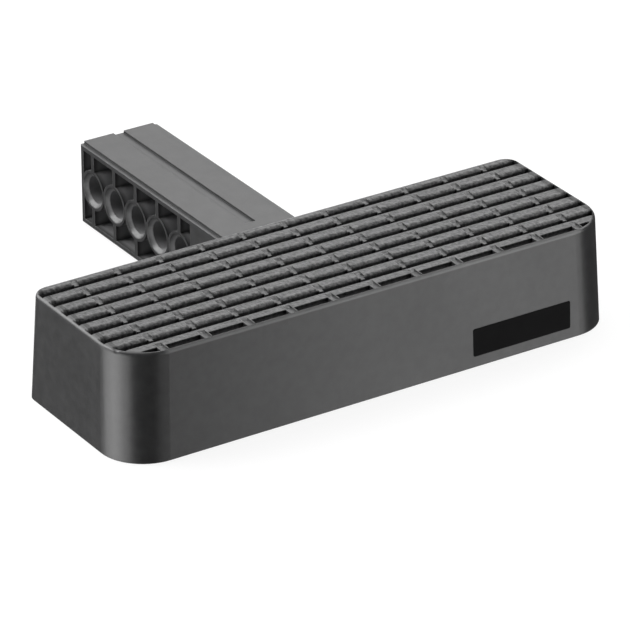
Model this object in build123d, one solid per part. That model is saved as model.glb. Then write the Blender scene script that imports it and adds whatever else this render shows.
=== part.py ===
# Hitch receiver step: one moulding with a treaded deck on a square shank, and the plain label on its front.
# Frame: +Z up from the floor, X across the vehicle, +Y from the deck's front edge towards the receiver tube.
import os
from math import cos, radians, sin, tan

from build123d import *

# Deck block, measured round its bottom edge
deck_length = 313.8
deck_depth = 105.4
deck_height = 62.7
end_draft = 2.2  # degrees that the two ends lean in
wall_draft = 3.1  # degrees that the front and the back lean in
front_corner_radius = 26.2
back_corner_radius = 9.0
top_edge_radius = 2.7
skirt_wall = 4.0
deck_wall = 3.5  # left under the tread grooves

# Tread: grooves along X that leave planks with a sharp back edge and a rounded front edge
row_pitch = 12.62
groove_width = 5.7
groove_depth = 4.0
groove_lean = 0.3  # run of the steep side behind each plank's back edge
plank_edge_radius = 2.2
rim_width = 1.2
front_slot_width = 4.3
front_strip_width = 5.4

# Drain notches in the planks' front edges, in lines across the tread
notch_pitch = 26.25
notch_offset = 1.15  # of the middle line from the deck's middle
notch_width = 4.0
notch_depth = 1.05
notch_stop = 1.5  # from the notch's end to the plank's back edge
notch_ramp = 2.4
nose_width = 2.1
nose_gap = 3.8  # plank's back edge to the nose of the notch behind it
bridge_width = 5.0  # across the front slot

# Ribs under the deck, along the lines of notches and across them
under_rib = 3.0
under_rib_rows = 3
under_rib_lift = 2.0  # floor to the ribs' lower edges

# Shank
shank_side = 50.8
shank_length = 164.2
shank_wall = 4.0
web = 4.0
end_wall = 3.4
end_edge_radius = 1.0
core_rib = 3.0
rebate_width = 2.7  # step along the four long edges
rebate_depth = 1.4
relief_width = 6.8  # channel along the parting line
relief_depth = 1.3
relief_stop = 23.3  # deck to the channel's end

# Pin bores
pin_diameter = 15.9
pin_clearance = 0.5
pin_count = 5
pin_pitch = 23.4
first_pin = 13.4  # shank's end to the first axis
pin_tube_wall = 3.9
pin_lead_in = 2.3

# Label
label_width = 63.9
label_height = 16.2
label_thickness = 0.2
label_corner = 1.0
label_from_end = 64.3  # deck's end to the label's middle
label_above_floor = 14.3

# Overlap that cuts and joints share, so that no two faces only graze each other
overlap = 1.0

# Levels and stations that follow from the sizes
end_lean = tan(radians(end_draft))
wall_lean = tan(radians(wall_draft))
groove_floor = deck_height - groove_depth
ceiling = groove_floor - deck_wall
deck_front = -(deck_depth + shank_length) / 2
deck_back = deck_front + deck_depth
deck_middle = (deck_front + deck_back) / 2
shank_end = deck_back + shank_length
shank_axis = shank_side / 2
tread_front = deck_front + deck_height * wall_lean + rim_width
tread_back = deck_back - deck_height * wall_lean - rim_width
flat_back = deck_back - deck_height * wall_lean - top_edge_radius
slot_back = tread_front + front_slot_width
front_crest = slot_back + front_strip_width
groove_reach = groove_width + plank_edge_radius
groove_count = int((tread_back - front_crest - groove_reach) / row_pitch) + 1
crests = [front_crest + i * row_pitch for i in range(groove_count)]
tread_half = deck_length / 2 - deck_height * end_lean - rim_width
line_count = int(tread_half / notch_pitch)
line_xs = [i * notch_pitch for i in range(-line_count, line_count + 1)]
notch_xs = [x + notch_offset for x in line_xs]
pin_bore = pin_diameter + pin_clearance
pin_tube = pin_bore + 2 * pin_tube_wall
pin_ys = [shank_end - first_pin - i * pin_pitch for i in range(pin_count)]
core_front = pin_ys[-1] - pin_pitch / 2
core_back = shank_end - end_wall


def block_between(low, high):
    """Box given by its lowest and highest corners."""
    size = [b - a for a, b in zip(low, high)]
    middle = [(a + b) / 2 for a, b in zip(low, high)]
    return Pos(*middle) * Box(*size)


def leaning_profile(half, lean, height):
    """Section with both sides leaning in."""
    top = half - height * lean
    return make_face(Polyline((-half, 0), (half, 0), (top, height), (-top, height), close=True).edges())


def deck_form(height, inset=0):
    """Deck's leaning walls and rounded corners up to one height, drawn in by an inset."""
    half_length = deck_length / 2 - inset
    half_depth = deck_depth / 2 - inset
    form = extrude(Plane.XZ * leaning_profile(half_length, end_lean, height), half_depth, both=True)
    form &= extrude(Plane.YZ * leaning_profile(half_depth, wall_lean, height), half_length, both=True)
    form = fillet(form.edges().group_by(Axis.Z)[1].group_by(Axis.Y)[0], front_corner_radius - inset)
    form = fillet(form.edges().group_by(Axis.Z)[1].group_by(Axis.Y)[-1], back_corner_radius - inset)
    return Pos(0, deck_middle, 0) * form


def deck_block():
    """Solid deck with a rounded top edge."""
    block = deck_form(deck_height)
    return fillet(block.faces().sort_by(Axis.Z)[-1].edges(), top_edge_radius)


def tread_plan():
    """Plan inside the tread's rim."""
    length = deck_length - 2 * (deck_height * end_lean + rim_width)
    plan = Rectangle(length, tread_back - tread_front)
    plan = fillet(plan.vertices().group_by(Axis.Y)[0], front_corner_radius - rim_width)
    plan = fillet(plan.vertices().group_by(Axis.Y)[-1], back_corner_radius - rim_width)
    return Pos(0, deck_middle, groove_floor) * plan


def groove_section():
    """Section of one groove from a plank's sharp back edge to the next plank's rounded front edge."""
    floor_back = (groove_width, -groove_depth)
    round_foot = (groove_width, -plank_edge_radius)
    round_top = (groove_reach, 0)
    sides = Polyline(round_top, (groove_reach, overlap), (0, overlap), (0, 0), (groove_lean, -groove_depth))
    floor = Polyline((groove_lean, -groove_depth), floor_back, round_foot)
    rounding = TangentArc(round_foot, round_top, tangent=(0, 1))
    return make_face([*sides.edges(), *floor.edges(), rounding])


def notch_cut(front, end):
    """Cut of a notch in one plank, from the groove in front of it to the ramp at its end."""
    floor = deck_height - notch_depth
    above = deck_height + overlap
    ramp_top = end + notch_ramp * overlap / notch_depth
    corners = [(front, floor), (end - notch_ramp, floor), (ramp_top, above), (front, above)]
    section = make_face(Polyline(*corners, close=True).edges())
    return extrude(Plane.YZ * section, notch_width / 2, both=True)


def nose_block(front, back, width, top):
    """Block that stands in a groove and carries a notch forward."""
    return block_between((-width / 2, front, groove_floor - overlap), (width / 2, back, top))


def tread_cuts():
    """Grooves, front slot and notches of the tread, closed by the rim."""
    groove = extrude(Plane.YZ * groove_section(), deck_length / 2, both=True)
    low = (-deck_length / 2, deck_front, groove_floor)
    cuts = block_between(low, (deck_length / 2, slot_back, deck_height + overlap))
    cuts += [Pos(0, y, deck_height) * groove for y in crests]
    noses = [nose_block(deck_front, slot_back, bridge_width, deck_height + overlap)]
    notches = [notch_cut(deck_front, front_crest - notch_stop)]
    for y in crests:
        noses.append(nose_block(y + nose_gap, y + groove_reach, nose_width, deck_height - notch_depth))
        notches.append(notch_cut(y + nose_gap, min(y + row_pitch - notch_stop, flat_back)))
    cuts -= [Pos(x, 0, 0) * nose for x in notch_xs for nose in noses]
    cuts += [Pos(x, 0, 0) * notch for x in notch_xs for notch in notches]
    return cuts & extrude(tread_plan(), groove_depth + overlap)


def under_cells():
    """Hollow under the deck, open at the floor, with the ribs left standing in it."""
    hollow = deck_form(ceiling, skirt_wall)
    spacing = (deck_depth - 2 * skirt_wall) / (under_rib_rows + 1)
    top = ceiling + overlap
    ribs = []
    for x in line_xs:
        low = (x - under_rib / 2, deck_front, under_rib_lift)
        ribs.append(block_between(low, (x + under_rib / 2, deck_back, top)))
    for i in range(under_rib_rows):
        y = deck_front + skirt_wall + (i + 1) * spacing
        low = (-deck_length / 2, y - under_rib / 2, under_rib_lift)
        ribs.append(block_between(low, (deck_length / 2, y + under_rib / 2, top)))
    return hollow - ribs


def shank_bar():
    """Square bar from inside the deck to the rounded far end, with a step along each long edge."""
    section = Rectangle(shank_side, shank_side)
    step = Rectangle(2 * rebate_width, 2 * rebate_depth)
    section -= [loc * step for loc in GridLocations(shank_side, shank_side, 2, 2)]
    place = Plane(origin=(0, deck_middle, shank_axis), x_dir=(1, 0, 0), z_dir=(0, -1, 0))
    bar = extrude(place * section, deck_middle - shank_end)
    plan = Pos(0, (deck_middle + shank_end) / 2) * Rectangle(shank_side, shank_end - deck_middle)
    plan = fillet(plan.vertices().group_by(Axis.Y)[-1], end_edge_radius)
    return bar & extrude(plan, shank_side)


def side_cores():
    """Hollows cored into both sides of the shank, round the pin tubes and the ribs that hold them."""
    inner = web / 2
    outer = shank_side / 2 + overlap
    top = shank_side - shank_wall
    cores = block_between((inner, core_front, shank_wall), (outer, core_back, top))
    cores += mirror(cores, Plane.YZ)
    tube = Rot(0, 90, 0) * Cylinder(pin_tube / 2, 2 * outer + overlap)
    rib = Box(2 * outer + overlap, core_rib, shank_side)
    for y in pin_ys:
        cores -= Pos(0, y, shank_axis) * tube
        cores -= Pos(0, y, shank_axis) * rib
    return cores


def root_cells():
    """Hollows cored into the shank from below, between the deck and the pin tubes."""
    inner = web / 2
    outer = shank_side / 2 - shank_wall
    back = core_front - shank_wall
    middle = (deck_back + back) / 2
    cells = block_between((inner, deck_back, -overlap), (outer, back, shank_side - shank_wall))
    low = (0, middle - core_rib / 2, under_rib_lift)
    cells -= block_between(low, (shank_side, middle + core_rib / 2, shank_side))
    return cells + mirror(cells, Plane.YZ)


def pin_bores():
    """Cross bores for the hitch pin, each with a lead-in at both mouths."""
    bore = Cylinder(pin_bore / 2, shank_side + 2 * overlap)
    mouth_height = pin_lead_in + 2 * overlap
    mouth = Cone(pin_bore / 2 - overlap, pin_bore / 2 + pin_lead_in + overlap, mouth_height)
    mouth = Pos(0, 0, shank_side / 2 + overlap - mouth_height / 2) * mouth
    cutter = Rot(0, 90, 0) * (bore + mouth + mirror(mouth, Plane.XY))
    return [Pos(0, y, shank_axis) * cutter for y in pin_ys]


def parting_reliefs():
    """Channels that keep the parting line below the shank's top and bottom."""
    front = deck_back + relief_stop
    half = relief_width / 2
    back = shank_end + overlap
    upper = block_between((-half, front, shank_side - relief_depth), (half, back, shank_side + overlap))
    lower = block_between((-half, front, -overlap), (half, back, relief_depth))
    return upper + lower


def make_moulding():
    """The whole step, moulded in one piece."""
    body = deck_block() + shank_bar() - under_cells()
    body -= tread_cuts()
    body -= side_cores() + root_cells()
    body -= pin_bores()
    return body - parting_reliefs()


def make_label():
    """Thin plain label, flat on the leaning front wall."""
    draft = radians(wall_draft)
    middle_x = deck_length / 2 - label_from_end
    place = (middle_x, deck_front + label_above_floor * wall_lean, label_above_floor)
    face = Plane(origin=place, x_dir=(1, 0, 0), z_dir=(0, -cos(draft), sin(draft)))
    return extrude(face * RectangleRounded(label_width, label_height, label_corner), label_thickness)


os.makedirs("parts", exist_ok=True)
export_step(make_moulding(), "parts/step_moulding.step")
export_step(make_label(), "parts/label.step")
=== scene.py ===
"""Looks of the hitch receiver step: moulded plastic, bare label, studio floor, lights and camera."""
from math import cos, pi, radians, sin, tan

import bpy
from mathutils import Matrix, Vector


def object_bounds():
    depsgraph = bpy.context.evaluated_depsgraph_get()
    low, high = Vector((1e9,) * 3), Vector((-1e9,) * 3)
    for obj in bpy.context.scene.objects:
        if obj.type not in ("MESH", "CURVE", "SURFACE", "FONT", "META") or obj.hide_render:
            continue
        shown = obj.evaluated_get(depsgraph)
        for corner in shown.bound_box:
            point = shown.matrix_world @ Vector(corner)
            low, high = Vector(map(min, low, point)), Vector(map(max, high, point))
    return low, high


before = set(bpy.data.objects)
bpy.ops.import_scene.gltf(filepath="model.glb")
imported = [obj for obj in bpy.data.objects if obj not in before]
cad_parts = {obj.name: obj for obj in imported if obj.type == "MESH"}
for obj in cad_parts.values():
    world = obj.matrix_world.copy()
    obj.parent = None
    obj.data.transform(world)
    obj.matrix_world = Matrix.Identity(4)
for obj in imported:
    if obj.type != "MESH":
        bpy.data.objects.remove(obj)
cad_low, cad_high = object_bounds()
box_front, box_bottom = cad_low[1:]
box_right, box_back, box_top = cad_high

# Camera, in metres and degrees
image_side_px = 630
focal_px = 4759.1
sensor_mm = 36.0
clip_range = (0.01, 100.0)
view_azimuth = -32.944
view_elevation = 26.910
eye = (-1.24727, -1.99588, 1.18544)

# Colours of the moulded plastic, with the tones of its painted light and painted shade
plastic_dark = (0.020, 0.020, 0.0204, 1)
plastic_light = (0.029, 0.029, 0.0295, 1)
edge_light = (0.060, 0.060, 0.061, 1)
# Painted light: lighter tone deep in the side cores and low on the front slot's back wall
painted_light_tone = (0.120, 0.120, 0.122, 1)
# Painted shade: dark tone laid into recesses, the slot rim's inner edge and the plank end lines
painted_shade_tone = (0.010, 0.010, 0.0102, 1)

# Its surface: noise sizes and heights in metres, then gloss and roughness
noise_span = (0.3, 0.7)  # part of a noise's range that a ramp uses
noise_roughness = 0.55
grain_size = 0.00045
mottle_size = 0.006
cloud_size = 0.05
grit_size = 0.0020
bump_height = 0.00008
grain_height = 0.25  # of the grit's
grit_gloss = 0.28
plain_gloss = 0.5
plastic_ior = 1.5
grain_roughness = (0.29, 0.37)
cloud_roughness = (-0.02, 0.02)
core_roughness = 0.2  # added in the side cores

# Polished edges
edge_radius = 0.0006
edge_samples = 6
edge_turn = (0.99, 0.75)  # cosine of the turn at which the polish begins and is full
polish_patch = (0.35, 0.65)

# Painted shade in recesses, by the share of open air that a face sees
recess_reach = 0.0030
recess_samples = 8
recess_open = (0.80, 0.35)
shank_open = (0.92, 0.55)
core_share = 0.3  # of the darkening that is left in the side cores
painted_shade_gloss = 0.45

# Places on the moulding, in metres from the CAD model's box, and the widths of their soft limits
crisp = 0.0001
shank_y = box_front + 0.1068
shank_soft = 0.001
core_side = 0.0252
core_fade = 0.0030
core_rim_side = 0.0249
core_rim_soft = 0.0003
core_y = (box_back - 0.1188, box_back - 0.0033)
core_z = (box_bottom + 0.0039, box_bottom + 0.0469)
tread_z = box_top - 0.0043
tread_back = box_front + 0.1048
tread_corner = (box_right - 0.0286, box_front + 0.0296)  # centre of its front corner's arc
tread_radius = 0.0220
tread_soft = 0.0005

# Painted highlight: more gloss on the top edge of the front wall
highlight_edge_y = (box_front + 0.0044, box_front + 0.0038)
highlight_edge_z = (box_top - 0.0026, box_top - 0.0020)
highlight_edge_gloss = 0.5

# Front slot: painted light on the low part of its back wall, and painted shade on the inner edge of its rim
slot_side = box_right - 0.0219
slot_side_soft = 0.005
slot_wall_y = (box_front + 0.0073, box_front + 0.0093)
slot_wall_soft = 0.0003
slot_wall_z = (box_top - 0.0047, box_top - 0.0014)
slot_wall_full = box_top - 0.0029
slot_rim_rise = (box_front + 0.0037, box_front + 0.0046)
slot_rim_fall = (box_front + 0.0053, box_front + 0.0048)
slot_rim_z = (box_top - 0.0022, box_top - 0.0017)
slot_rim_shade = 0.55

# Painted shade: thin dark lines between the planks' ends and the rim, which also dip in the bump
end_line_x = (box_right - 0.0079, box_right - 0.0045)
end_line_x_soft = 0.0009
end_line_y = (box_front + 0.0168, box_front + 0.1038)
end_line_y_soft = 0.0015
end_line_z = (box_top - 0.0024, box_top - 0.0018)
end_line_shade = 0.8
end_line_depth = 2.5  # of the grit's height

# Label film
label_dark = (0.0020, 0.0020, 0.0022, 1)
label_light = (0.0035, 0.0035, 0.0037, 1)
label_gloss = 0.03
label_roughness = (0.3, 0.38)
label_grain_size = 0.0004
label_ripple_size = 0.012
label_bump_height = 0.00005
label_bump_strength = 0.15

# Studio
floor_half = 6.0
floor_z = box_bottom - 0.0003  # just clear of the moulding's lower rim
floor_dark = (0.86, 0.86, 0.86, 1)
floor_light = (0.88, 0.88, 0.88, 1)
floor_patch_size = 0.4
shadow_share = 0.15  # of the floor's own shading that the camera sees
surround_level = 0.05
white = (1, 1, 1, 1)

# Panel lamps: azimuth, elevation, width and height in degrees, distance in metres, then radiance
far = 3.0
near = 1.06
softboxes = {
    "left_back": (-116, -14, 22, 44, far, 3.1),
    "left": (-94, -14, 22, 44, far, 4.7),
    "left_front": (-72, -14, 22, 44, far, 2.8),
    "left_high": (-116, 20, 44, 24, far, 1.6),
    "left_top": (-118, 46, 44, 28, far, 1.2),
    "corner_top": (-120, 42, 22, 20, far, 11.0),
    "front_left": (10, -18, 20, 36, far, 0.7),
    "front_near": (30, -21, 14, 30, near, 2.6),
    "front_near_right": (42, -21, 14, 30, near, 2.2),
    "front_near_mid": (30, 3, 16, 20, near, 2.5),
    "front_mid": (38, 14, 30, 28, far, 2.2),
    "right_high": (62, 42, 40, 28, far, 2.6),
    "right_back": (104, 42, 40, 28, far, 3.9),
    "back_low": (146, 22, 20, 30, far, 1.4),
    "back_mid": (146, 48, 36, 22, far, 3.9),
    "back_left": (200, 24, 40, 30, far, 2.3),
    "back_left_low": (-150, 20, 30, 30, far, 3.2),
    "rear_high": (200, 50, 40, 30, far, 2.7),
    "rear_low": (158, -12, 46, 30, far, 2.0),
    "overhead_right": (120, 75, 40, 24, far, 1.8),
    "overhead_left": (-120, 75, 40, 24, far, 3.1),
}


class Nodes:
    """Short way to build a material's node tree."""

    def __init__(self, name):
        self.material = bpy.data.materials.new(name)
        self.material.use_nodes = True
        self.tree = self.material.node_tree
        self.tree.nodes.clear()

    def add(self, kind, inputs=None, **settings):
        node = self.tree.nodes.new(kind)
        for key, value in settings.items():
            setattr(node, key, value)
        for key, value in (inputs or {}).items():
            self.feed(node.inputs[key], value)
        return node

    def feed(self, socket, value):
        if isinstance(value, bpy.types.NodeSocket):
            self.tree.links.new(value, socket)
        else:
            socket.default_value = value

    def noise(self, place, size, detail=4.0):
        node = self.add("ShaderNodeTexNoise", {"Vector": place, "Scale": 1 / size, "Detail": detail,
                                               "Roughness": noise_roughness})
        return node.outputs["Fac"]

    def ramp(self, value, low, high, to_low=0.0, to_high=1.0):
        node = self.add("ShaderNodeMapRange", {"Value": value, "From Min": low, "From Max": high,
                                               "To Min": to_low, "To Max": to_high})
        return node.outputs["Result"]

    def mix(self, factor, a, b):
        return self.add("ShaderNodeMix", {"Factor": factor, 6: a, 7: b}, data_type="RGBA").outputs[2]

    def math(self, operation, a, b=0.0):
        return self.add("ShaderNodeMath", {0: a, 1: b}, operation=operation).outputs[0]

    def product(self, first, *others):
        for other in others:
            first = self.math("MULTIPLY", first, other)
        return first

    def inside(self, value, low, high, soft):
        """1 between two limits and 0 outside them, with a soft edge."""
        return self.product(self.ramp(value, low, low + soft), self.ramp(value, high, high - soft))

    def finish(self, shader):
        self.add("ShaderNodeOutputMaterial", {"Surface": shader})
        return self.material


def polished_edges(n, rounded, mottle):
    """Mask of the edges that use has polished, in patches."""
    face = n.add("ShaderNodeNewGeometry").outputs["Normal"]
    turn = n.add("ShaderNodeVectorMath", {0: rounded, 1: face}, operation="DOT_PRODUCT").outputs["Value"]
    return n.product(n.ramp(turn, *edge_turn), n.ramp(mottle, *polish_patch))


def side_cores(n, aside, y, z):
    """Masks of the shank's cored sides: all of them, what lies deep in them and gets painted light, and their
    front edges.
    """
    window = n.product(n.inside(y, *core_y, crisp), n.inside(z, *core_z, crisp))
    deep = n.product(window, n.ramp(aside, core_side, core_side - core_fade))
    rim = n.product(window, n.ramp(aside, core_rim_side, core_rim_side + core_rim_soft))
    return window, deep, rim


def recess_shade(n, y, window):
    """Mask of painted shade in narrow recesses, wider on the shank and weaker in its side cores."""
    node = n.add("ShaderNodeAmbientOcclusion", {"Distance": recess_reach}, samples=recess_samples,
                 only_local=True)
    open_air = node.outputs["AO"]
    on_shank = n.product(n.ramp(open_air, *shank_open), n.ramp(y, shank_y, shank_y + shank_soft))
    anywhere = n.math("MAXIMUM", n.ramp(open_air, *recess_open), on_shank)
    return n.product(anywhere, n.ramp(window, 0.0, 1.0, 1.0, core_share))


def plank_end_lines(n, aside, y, z):
    """Mask of the thin painted-shade lines between the planks' ends and the rim, which also dip in the bump.
    """
    return n.product(n.inside(aside, *end_line_x, end_line_x_soft), n.inside(y, *end_line_y, end_line_y_soft),
                     n.ramp(z, *end_line_z))


def front_slot(n, aside, y, z):
    """Masks of the front slot: painted light on the low part of its back wall, and painted shade on the inner
    edge of its rim.
    """
    straight = n.ramp(aside, slot_side, slot_side - slot_side_soft)
    wall = n.product(n.inside(y, *slot_wall_y, slot_wall_soft), n.inside(z, *slot_wall_z, crisp), straight,
                     n.ramp(z, slot_wall_z[1], slot_wall_full))
    rim = n.product(n.ramp(y, *slot_rim_rise), n.ramp(y, *slot_rim_fall), straight, n.ramp(z, *slot_rim_z))
    return wall, rim


def tread_area(n, aside, y, z):
    """Mask of the tread inside its rim, with round front corners."""
    out_x = n.math("MAXIMUM", n.math("SUBTRACT", aside, tread_corner[0]))
    out_y = n.math("MAXIMUM", n.math("SUBTRACT", tread_corner[1], y))
    out = n.math("SQRT", n.math("ADD", n.product(out_x, out_x), n.product(out_y, out_y)))
    return n.product(n.ramp(out, tread_radius, tread_radius - tread_soft),
                     n.ramp(y, tread_back, tread_back - tread_soft), n.ramp(z, tread_z, tread_z + crisp))


def moulded_plastic():
    """Black filled plastic with a fine grain, polished edges and a gritty tread, with painted shade in
    recesses, painted light in the side cores and front slot, and a painted highlight on the front edge.
    """
    n = Nodes("moulded_plastic")
    place = n.add("ShaderNodeTexCoord").outputs["Object"]
    x, y, z = n.add("ShaderNodeSeparateXYZ", {"Vector": place}).outputs
    aside = n.math("ABSOLUTE", x)
    grain = n.noise(place, grain_size)
    mottle = n.noise(place, mottle_size, 3.0)
    cloud = n.noise(place, cloud_size, 2.0)
    rounded = n.add("ShaderNodeBevel", {"Radius": edge_radius}, samples=edge_samples).outputs["Normal"]
    core_window, deep_core_painted_light, core_rim = side_cores(n, aside, y, z)
    slot_painted_light, slot_painted_shade = front_slot(n, aside, y, z)
    end_lines = plank_end_lines(n, aside, y, z)

    # Painted shade: recesses, the plank end lines and the slot rim's inner edge darken; none on the slot's
    # back wall that has painted light
    painted_shade = n.math("MAXIMUM", recess_shade(n, y, core_window), n.product(end_lines, end_line_shade))
    painted_shade = n.product(painted_shade, n.math("SUBTRACT", 1.0, slot_painted_light))
    painted_shade = n.math("MAXIMUM", painted_shade, n.product(slot_painted_shade, slot_rim_shade))
    colour = n.mix(n.ramp(mottle, *noise_span), plastic_dark, plastic_light)
    colour = n.mix(polished_edges(n, rounded, mottle), colour, edge_light)
    # Painted light: the deep parts of the side cores are made lighter
    colour = n.mix(deep_core_painted_light, colour, painted_light_tone)
    # Painted light: the low part of the front slot's back wall is made lighter
    colour = n.mix(slot_painted_light, colour, painted_light_tone)
    colour = n.mix(painted_shade, colour, painted_shade_tone)

    roughness = n.math("ADD", n.ramp(grain, *noise_span, *grain_roughness),
                       n.ramp(cloud, *noise_span, *cloud_roughness))
    roughness = n.math("ADD", roughness, n.product(deep_core_painted_light, core_roughness))

    grit = n.ramp(n.noise(place, grit_size, 2.0), *noise_span, -1.0, 1.0)
    grit = n.product(grit, tread_area(n, aside, y, z))
    gloss = n.math("ADD", n.product(grit, grit_gloss), plain_gloss)
    # Painted highlight: gloss raised along the front wall's top edge
    painted_highlight_edge = n.product(n.ramp(z, *highlight_edge_z), n.ramp(y, *highlight_edge_y))
    gloss = n.math("ADD", gloss, n.product(painted_highlight_edge, highlight_edge_gloss))
    # Gloss is lowered in the painted shade and on the side cores' front edges
    gloss = n.product(gloss, n.ramp(n.math("MAXIMUM", painted_shade, core_rim), 0.0, 1.0, 1.0, painted_shade_gloss))

    height = n.math("ADD", n.product(grain, grain_height), grit)
    height = n.math("SUBTRACT", height, n.product(end_lines, end_line_depth))
    bump = n.add("ShaderNodeBump", {"Strength": 1.0, "Distance": bump_height, "Height": height,
                                    "Normal": rounded})
    shader = n.add("ShaderNodeBsdfPrincipled", {"Base Color": colour, "Roughness": roughness,
                                                "IOR": plastic_ior, "Specular IOR Level": gloss,
                                                "Normal": bump.outputs["Normal"]})
    return n.finish(shader.outputs["BSDF"])


def label_film():
    """Bare satin film."""
    n = Nodes("label_film")
    place = n.add("ShaderNodeTexCoord").outputs["Object"]
    grain = n.noise(place, label_grain_size)
    ripple = n.noise(place, label_ripple_size, 2.0)
    colour = n.mix(n.ramp(ripple, *noise_span), label_dark, label_light)
    bump = n.add("ShaderNodeBump", {"Strength": label_bump_strength, "Distance": label_bump_height,
                                    "Height": grain})
    shader = n.add("ShaderNodeBsdfPrincipled", {"Base Color": colour, "Specular IOR Level": label_gloss,
                                                "Roughness": n.ramp(grain, *noise_span, *label_roughness),
                                                "Normal": bump.outputs["Normal"]})
    return n.finish(shader.outputs["BSDF"])


def studio_floor():
    """Pale floor that looks white to the camera and keeps a faint shadow."""
    n = Nodes("studio_floor")
    place = n.add("ShaderNodeTexCoord").outputs["Object"]
    tint = n.mix(n.ramp(n.noise(place, floor_patch_size, 2.0), *noise_span), floor_dark, floor_light)
    shaded = n.add("ShaderNodeBsdfDiffuse", {"Color": tint}).outputs[0]
    plain = n.add("ShaderNodeEmission", {"Strength": 1.0}).outputs[0]
    path = n.add("ShaderNodeLightPath").outputs
    seen = n.math("MAXIMUM", path["Is Camera Ray"], path["Is Glossy Ray"])
    seen = n.math("MAXIMUM", seen, path["Is Transmission Ray"])
    share = n.product(seen, 1 - shadow_share)
    material = n.finish(n.add("ShaderNodeMixShader", {"Fac": share, 1: shaded, 2: plain}).outputs[0])
    bpy.ops.mesh.primitive_plane_add(size=2 * floor_half, location=(0, 0, floor_z))
    floor = bpy.context.object
    floor.name = "studio_floor"
    floor.data.materials.append(material)
    floor.visible_diffuse = False
    floor.visible_glossy = False
    floor.visible_shadow = False


def studio_world():
    """Even pale surround that looks white behind the floor."""
    world = bpy.data.worlds.new("studio")
    bpy.context.scene.world = world
    world.use_nodes = True
    nodes, links = world.node_tree.nodes, world.node_tree.links
    fill = nodes["Background"]
    fill.inputs["Strength"].default_value = surround_level
    fill.inputs["Color"].default_value = white
    backdrop = nodes.new("ShaderNodeBackground")
    backdrop.inputs["Color"].default_value = white
    path = nodes.new("ShaderNodeLightPath")
    choose = nodes.new("ShaderNodeMixShader")
    links.new(path.outputs["Is Camera Ray"], choose.inputs[0])
    links.new(fill.outputs[0], choose.inputs[1])
    links.new(backdrop.outputs[0], choose.inputs[2])
    links.new(choose.outputs[0], nodes["World Output"].inputs["Surface"])


def direction(azimuth, elevation):
    """Unit vector away from the object, by angles in degrees; azimuth 0 is along -Y, 90 along +X."""
    a, e = radians(azimuth), radians(elevation)
    return Vector((sin(a) * cos(e), -cos(a) * cos(e), sin(e)))


def softbox(name, azimuth, elevation, width, height, distance, radiance):
    """Panel lamp on a sphere round the object, which it faces."""
    away = direction(azimuth, elevation)
    data = bpy.data.lights.new(name, "AREA")
    data.shape = "RECTANGLE"
    data.size = 2 * distance * tan(radians(width) / 2)
    data.size_y = 2 * distance * tan(radians(height) / 2)
    data.energy = radiance * pi * data.size * data.size_y
    lamp = bpy.data.objects.new(name, data)
    lamp.location = away * distance
    lamp.rotation_mode = "QUATERNION"
    lamp.rotation_quaternion = away.to_track_quat("Z", "Y")
    lamp.visible_camera = False
    bpy.context.scene.collection.objects.link(lamp)


def photo_camera():
    """Camera at the photograph's viewing angle."""
    away = direction(view_azimuth, view_elevation)
    right = Vector((cos(radians(view_azimuth)), sin(radians(view_azimuth)), 0))
    up = away.cross(right)
    data = bpy.data.cameras.new("camera")
    data.sensor_width = sensor_mm
    data.lens = sensor_mm * focal_px / image_side_px
    data.clip_start, data.clip_end = clip_range
    camera = bpy.data.objects.new("camera", data)
    camera.matrix_world = Matrix.Translation(eye) @ Matrix((right, up, away)).transposed().to_4x4()
    bpy.context.scene.collection.objects.link(camera)
    bpy.context.scene.camera = camera


def dress(node, material):
    """Gives a CAD node its material."""
    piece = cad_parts[node]
    piece.data.materials.clear()
    piece.data.materials.append(material)


dress("step_moulding", moulded_plastic())
dress("label", label_film())
studio_floor()
studio_world()
for name, placing in softboxes.items():
    softbox(name, *placing)
photo_camera()

bpy.context.scene.view_settings.view_transform = "Standard"
